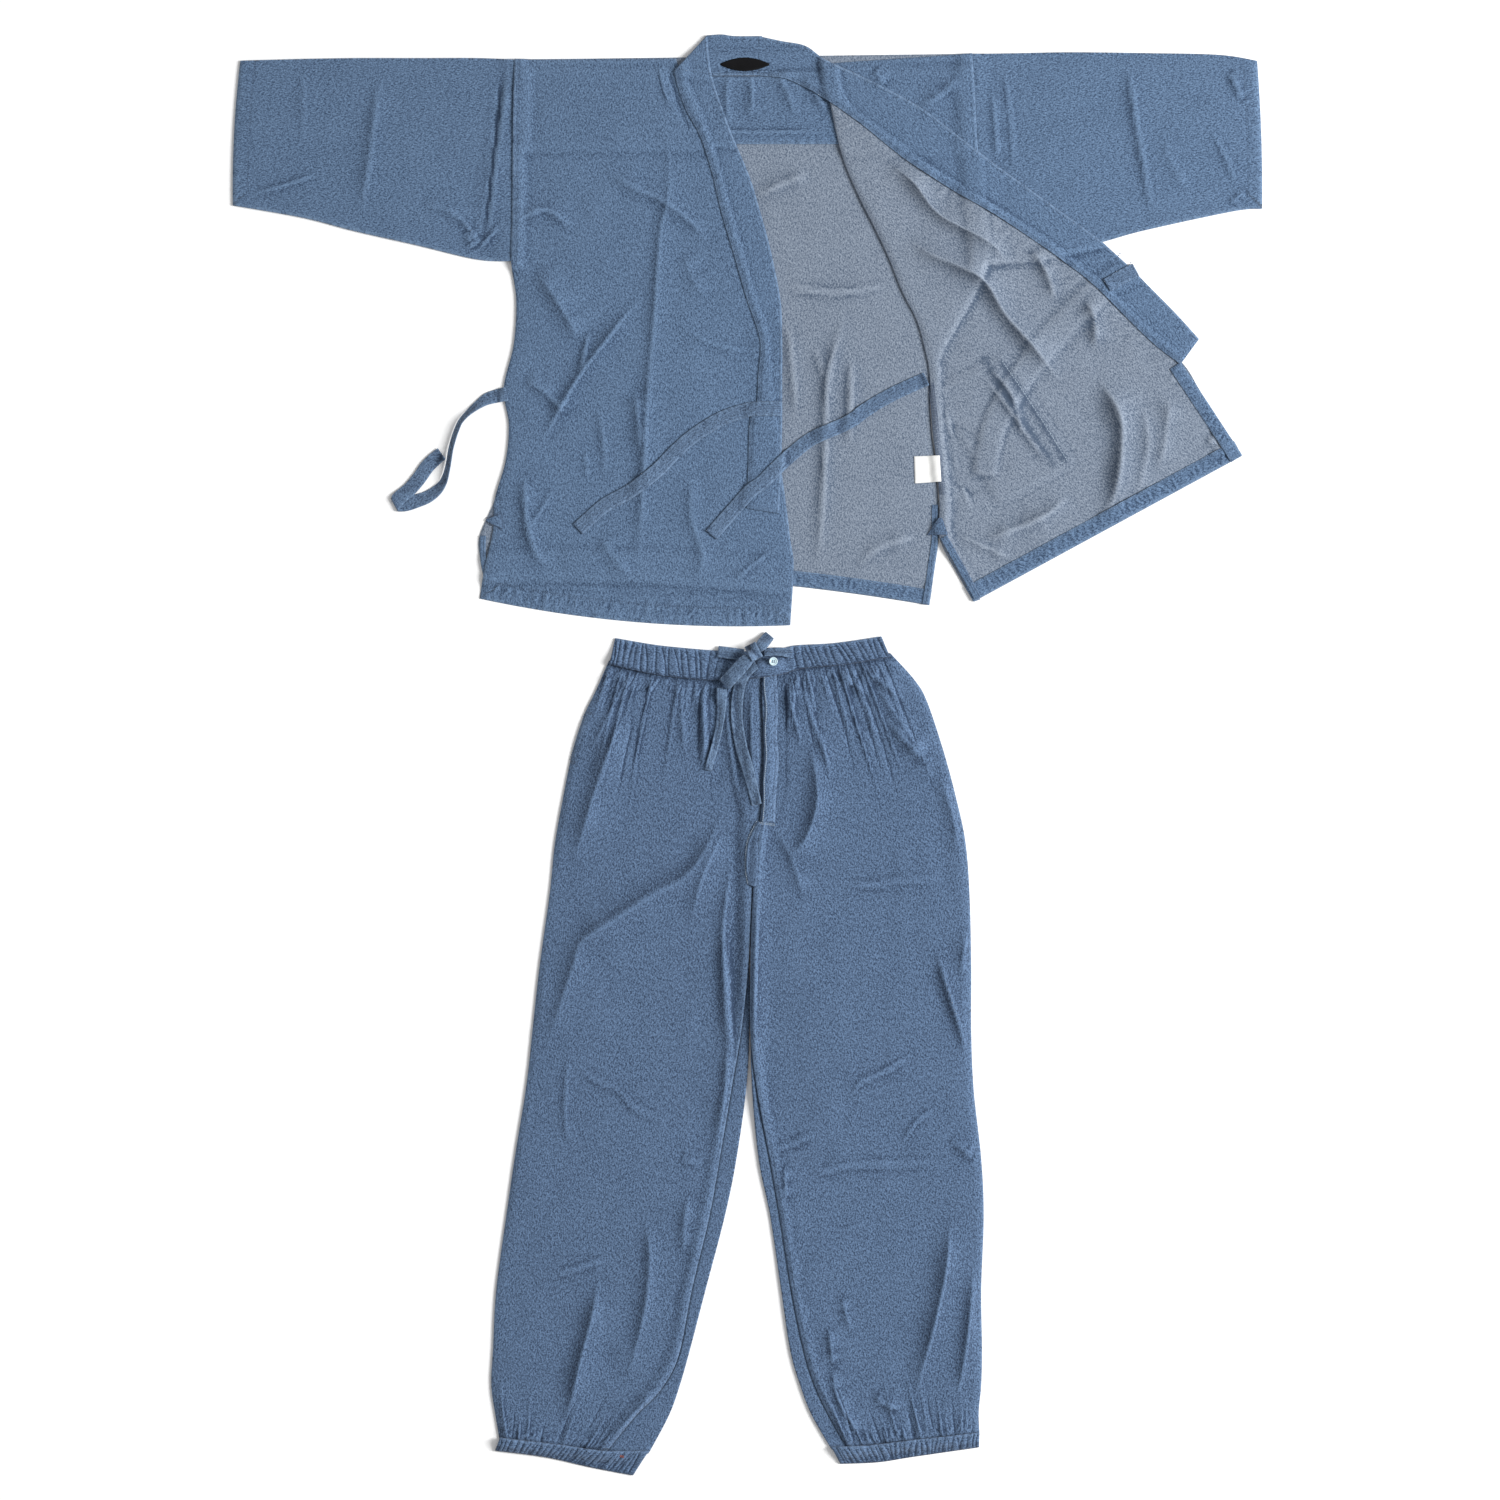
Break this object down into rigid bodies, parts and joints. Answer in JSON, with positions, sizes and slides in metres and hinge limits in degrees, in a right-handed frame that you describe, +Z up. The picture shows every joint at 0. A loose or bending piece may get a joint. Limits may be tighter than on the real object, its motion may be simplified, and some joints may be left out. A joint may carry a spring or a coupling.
{
  "type": "samue",
  "caption": "Loose cotton wrap jacket with sewn ties, one front folded open, and gathered drawstring trousers, laid out flat.",
  "frame": {"origin": "on the table, under the centre of the laid-out set", "axes": "+Y from the trouser cuffs towards the jacket's collar, +X to the wearer's left, +Z up from the table"},
  "size_m": [1.2343, 1.728, 0.0146],
  "materials": {
    "chambray": "matt washed chambray, paler and greyer on the reverse",
    "tape": "matt folded and stitched chambray tape",
    "neck_label": "black woven satin, bare",
    "care_label": "white woven tape, bare",
    "button": "pale polished button"
  },
  "bodies": {
    "root": {"jacket_back": "chambray", "jacket_yoke": "chambray", "jacket_front_right": "chambray", "jacket_front_left": "chambray", "sleeve_right": "chambray", "sleeve_left": "chambray", "collar_right": "chambray", "collar_left": "chambray", "pocket_patch": "chambray", "vent_tack_right": "chambray", "vent_tack_left": "chambray", "tie_collar_right": "tape", "tie_collar_left": "tape", "tie_inner": "tape", "tie_side_right": "tape", "neck_label": "neck_label", "care_label": "care_label", "trousers_right_back": "chambray", "trousers_right_front": "chambray", "trousers_left_back": "chambray", "trousers_left_front": "chambray", "waistband": "chambray", "cuff_right": "chambray", "cuff_left": "chambray", "fly_placket": "chambray", "drawstring_strand_right": "tape", "drawstring_strand_left": "tape", "drawstring_end_short": "tape", "drawstring_end_long": "tape", "drawstring_loop_lower": "tape", "drawstring_loop_upper": "tape", "drawstring_knot": "tape", "waist_button": "button"}
  },
  "joints": []
}
